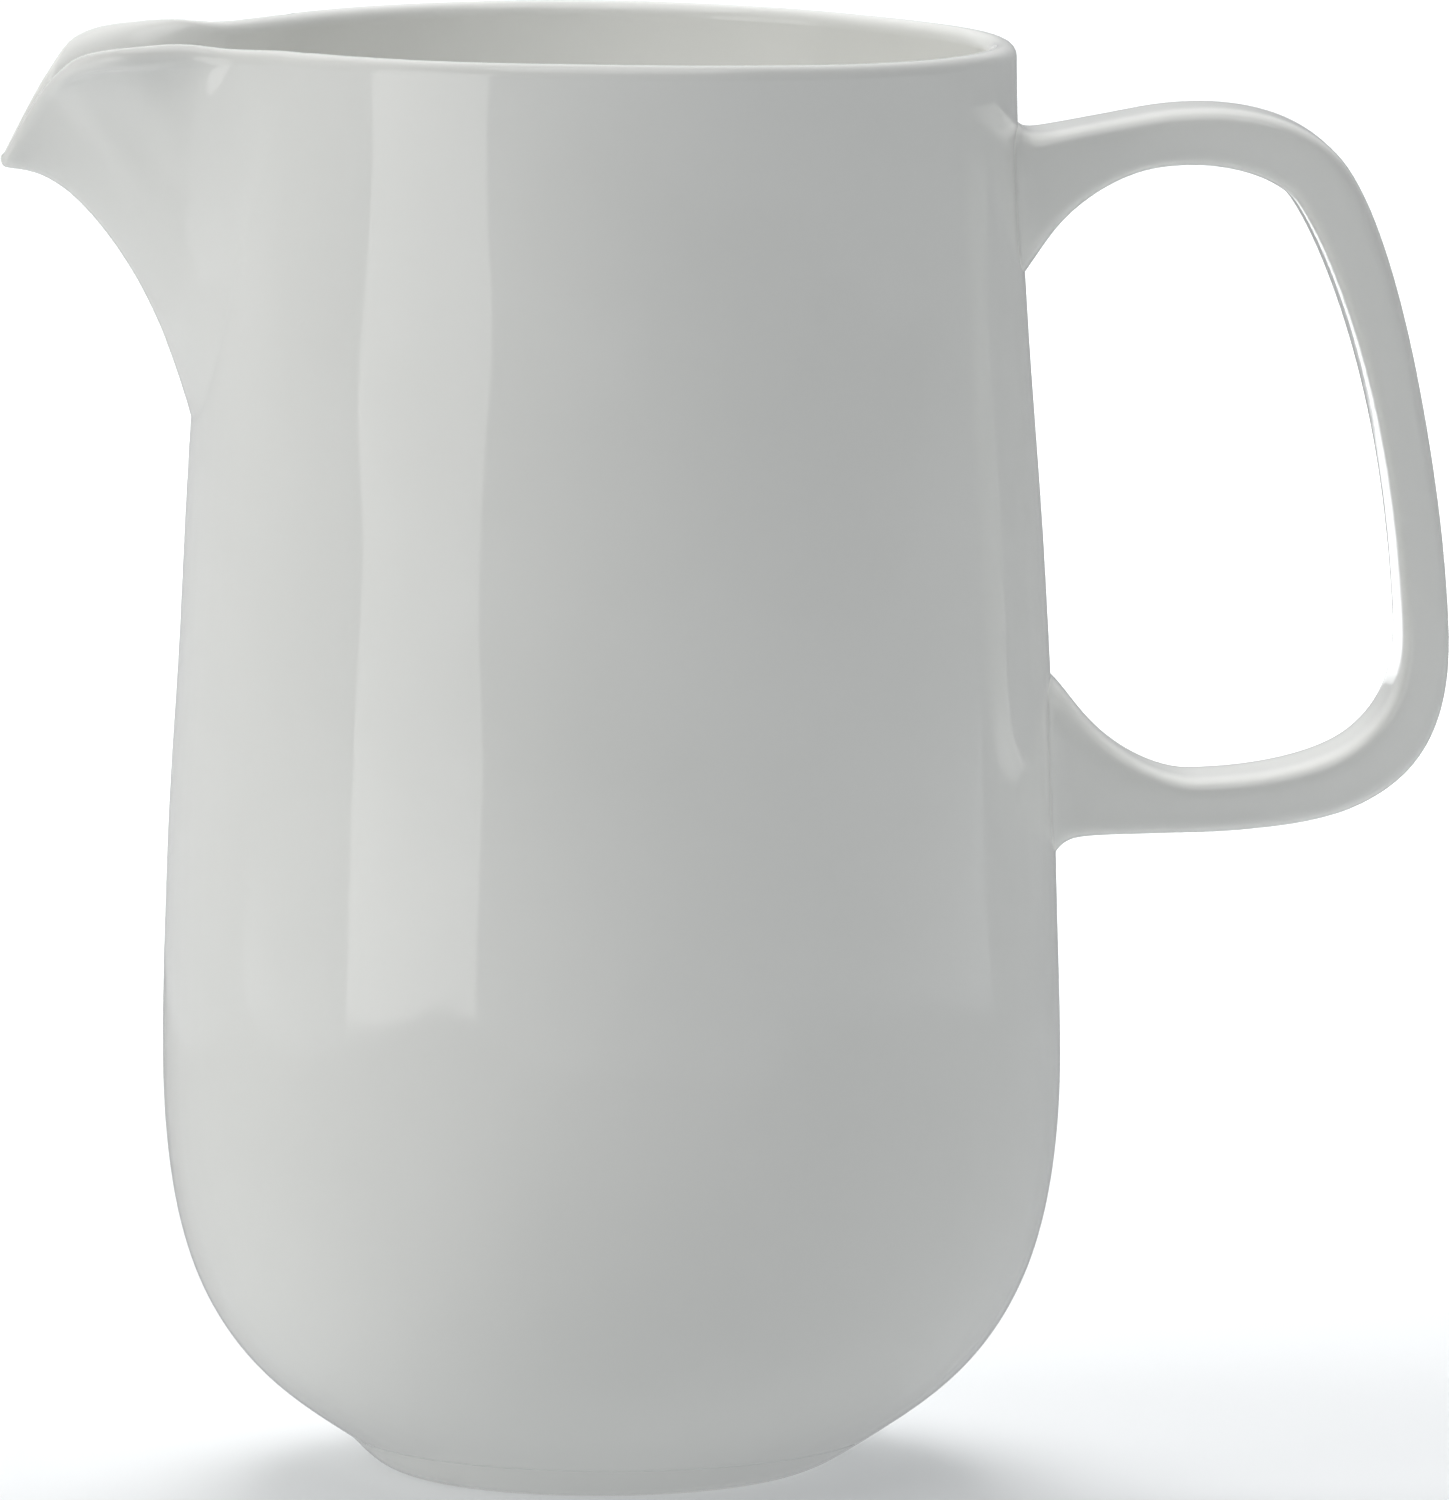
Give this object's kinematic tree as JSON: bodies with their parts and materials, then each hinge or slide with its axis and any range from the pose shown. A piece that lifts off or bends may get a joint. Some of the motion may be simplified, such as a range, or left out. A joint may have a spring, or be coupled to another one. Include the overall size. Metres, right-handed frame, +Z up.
{
  "type": "coffee pot",
  "caption": "Lidless glazed porcelain coffee pot: a tall round-bellied jug with a drooping beak spout, a looped strap handle and a low foot ring.",
  "frame": {"origin": "centre of the foot ring's resting face, on the axis of the pot", "axes": "+Z up along the pot's axis, -X towards the spout, +X towards the handle, +Y to the side"},
  "size_m": [0.1805, 0.112, 0.18],
  "materials": {
    "glazed_porcelain": "clear gloss glaze over white porcelain",
    "foot_porcelain": "glazed sides with a bare, polished resting face"
  },
  "bodies": {
    "root": {"body": "glazed_porcelain", "spout": "glazed_porcelain", "foot_ring": "foot_porcelain", "handle": "glazed_porcelain", "upper_handle_joint": "glazed_porcelain", "lower_handle_joint": "glazed_porcelain"}
  },
  "joints": []
}
